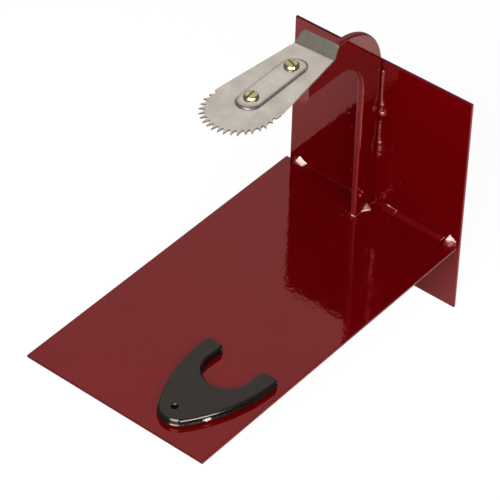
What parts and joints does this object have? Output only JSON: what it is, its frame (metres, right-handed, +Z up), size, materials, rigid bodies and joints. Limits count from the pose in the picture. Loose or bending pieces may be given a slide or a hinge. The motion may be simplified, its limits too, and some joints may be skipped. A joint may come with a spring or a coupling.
{
  "type": "coconut scraper",
  "caption": "Maroon welded steel coconut scraper that hooks over a worktop's edge, with a toothed stainless blade on a hook-shaped arm and a loose black blade guard.",
  "frame": {"origin": "the corner that sits on the worktop's edge: where the base plate's underside meets the back plate's front face, at the base plate's mid-width", "axes": "+Z up, -Y from the back plate over the worktop towards the blade's teeth, +X to the right as seen from the teeth looking along +Y"},
  "size_m": [0.1515, 0.272, 0.235],
  "materials": {
    "painted_steel": "glossy stoved enamel with orange peel, over sheet, plate and weld beads",
    "stainless_steel": "satin stainless sheet with faint rolling marks, teeth left as punched",
    "zinc_plated_steel": "yellow passivated zinc plating",
    "black_plastic": "moulded black plastic with a satin gloss"
  },
  "bodies": {
    "stand": {"base_plate": "painted_steel", "back_plate": "painted_steel", "hook_arm": "painted_steel", "blade_holder": "painted_steel", "grater_blade": "stainless_steel", "blade_screw_front": "zinc_plated_steel", "blade_nut_front": "zinc_plated_steel", "blade_screw_rear": "zinc_plated_steel", "blade_nut_rear": "zinc_plated_steel", "weld_seam_left": "painted_steel", "weld_seam_right": "painted_steel", "weld_tack_left": "painted_steel", "weld_tack_right": "painted_steel", "weld_upright_right": "painted_steel", "weld_foot_right": "painted_steel", "weld_upright_left": "painted_steel", "weld_foot_left": "painted_steel", "weld_foot_front": "painted_steel", "weld_holder_right": "painted_steel", "weld_holder_left": "painted_steel"},
    "guard": {"blade_guard": "black_plastic"}
  },
  "joints": [
    {"name": "guard_lift", "type": "slide", "parent": "stand", "child": "guard", "axis": [0, 0, 1], "range_m": [0, 0.2]}
  ]
}
